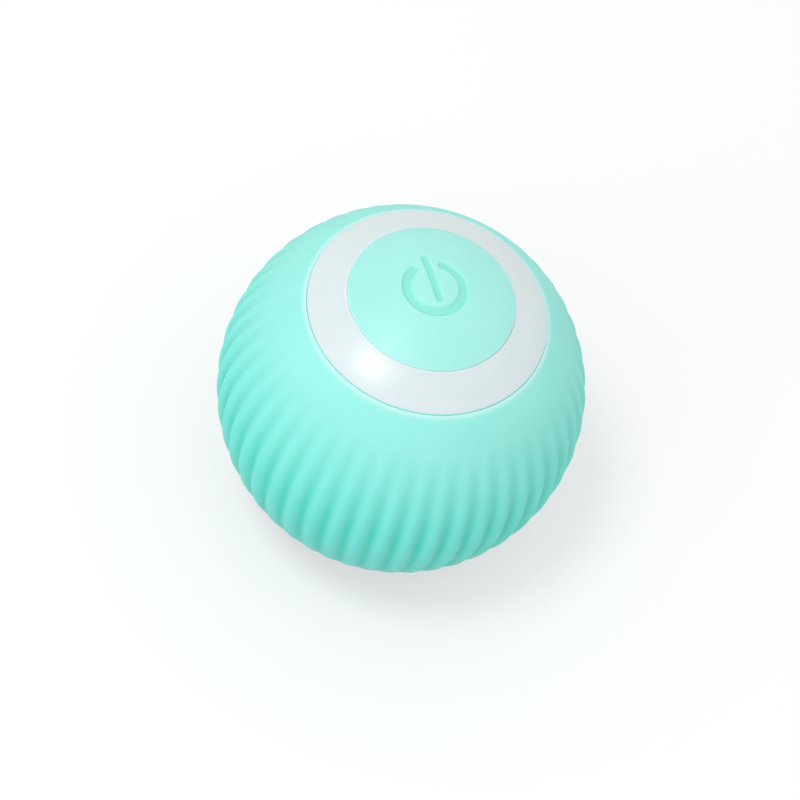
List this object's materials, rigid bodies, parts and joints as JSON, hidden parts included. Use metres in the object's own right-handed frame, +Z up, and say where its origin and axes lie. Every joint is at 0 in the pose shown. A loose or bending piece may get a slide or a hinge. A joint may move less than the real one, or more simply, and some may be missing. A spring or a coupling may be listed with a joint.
{
  "type": "self rolling pet toy ball",
  "caption": "Ribbed soft ball whose shell turns round a weighted motor core, with a power button and a light ring at one pole and a flat base with a charging port at the other.",
  "frame": {"origin": "centre of the flat face of the base cap, which the ball stands on", "axes": "+Z up the ball's axle to the power button, +Y towards the top of the power symbol"},
  "size_m": [0.043, 0.043, 0.041],
  "materials": {
    "grip_sleeve": "satin, ribbed soft rubber",
    "power_button": "satin, soft rubber over plastic",
    "light_ring": "semi-gloss, milky and translucent",
    "shell_plastic": "matte",
    "frame_plastic": "matte",
    "gear_plastic": "satin",
    "cap_plastic": "satin",
    "bright_steel": "satin",
    "motor_cap": "satin",
    "counterweight": "as cast",
    "battery_foil": "satin foil",
    "battery_pad": "matte foam",
    "circuit_board": "satin lacquer",
    "black_plastic": "matte",
    "led_lens": "clear",
    "red_wire": "satin",
    "black_wire": "satin"
  },
  "bodies": {
    "core": {"core_frame": "frame_plastic", "gear_deck": "frame_plastic", "lower_frame": "frame_plastic", "top_hub": "frame_plastic", "base_cap": "cap_plastic", "hub_screw_1": "bright_steel", "hub_screw_2": "bright_steel", "hub_screw_3": "bright_steel", "frame_screw_1": "bright_steel", "frame_screw_2": "bright_steel", "frame_screw_3": "bright_steel", "battery": "battery_foil", "battery_pad": "battery_pad", "circuit_board": "circuit_board", "control_chip": "black_plastic", "motion_sensor": "black_plastic", "led_1": "led_lens", "led_2": "led_lens", "led_3": "led_lens", "led_4": "led_lens", "switch_body": "black_plastic", "charge_board": "circuit_board", "socket_shell": "bright_steel", "socket_insulator": "black_plastic", "motor_can": "bright_steel", "motor_end_cap": "motor_cap", "counterweight": "counterweight", "gear_pin_1": "bright_steel", "gear_pin_2": "bright_steel", "motor_wire_red": "red_wire", "charge_wire_red": "red_wire", "battery_wire_red": "red_wire", "motor_wire_black": "black_wire", "charge_wire_black": "black_wire", "battery_wire_black": "black_wire"},
    "rolling_shell": {"grip_sleeve": "grip_sleeve", "upper_shell": "shell_plastic", "lower_shell": "shell_plastic", "light_ring": "light_ring", "lower_ring": "light_ring", "ring_gear": "gear_plastic"},
    "gear_1": {"compound_gear_1": "gear_plastic"},
    "gear_2": {"compound_gear_2": "gear_plastic"},
    "motor_rotor": {"motor_shaft": "bright_steel", "motor_pinion": "gear_plastic"},
    "button": {"power_button": "power_button", "switch_plunger": "black_plastic"}
  },
  "joints": [
    {"name": "shell_spin", "type": "hinge", "parent": "core", "child": "rolling_shell", "pos_m": [0, 0, 0.01981], "axis": [0, 0, 1], "continuous": true},
    {"name": "gear_2_spin", "type": "hinge", "parent": "core", "child": "gear_2", "pos_m": [0.013, 0, 0.01981], "axis": [0, 0, 1], "continuous": true},
    {"name": "gear_1_spin", "type": "hinge", "parent": "core", "child": "gear_1", "pos_m": [0.007, 0, 0.01981], "axis": [0, 0, 1], "continuous": true},
    {"name": "motor_spin", "type": "hinge", "parent": "core", "child": "motor_rotor", "pos_m": [0.00467, -0.00639, 0.01981], "axis": [0, 0, 1], "continuous": true},
    {"name": "button_press", "type": "slide", "parent": "core", "child": "button", "axis": [0, 0, -1], "range_m": [0, 0.0005], "stiffness_N_per_m": 2400, "springref_m": -0.0001}
  ],
  "couplings": [
    {"joint": "gear_2_spin", "follows": "shell_spin", "ratio": 5.3333},
    {"joint": "gear_1_spin", "follows": "shell_spin", "ratio": -10.667},
    {"joint": "motor_spin", "follows": "shell_spin", "ratio": 25.6}
  ]
}
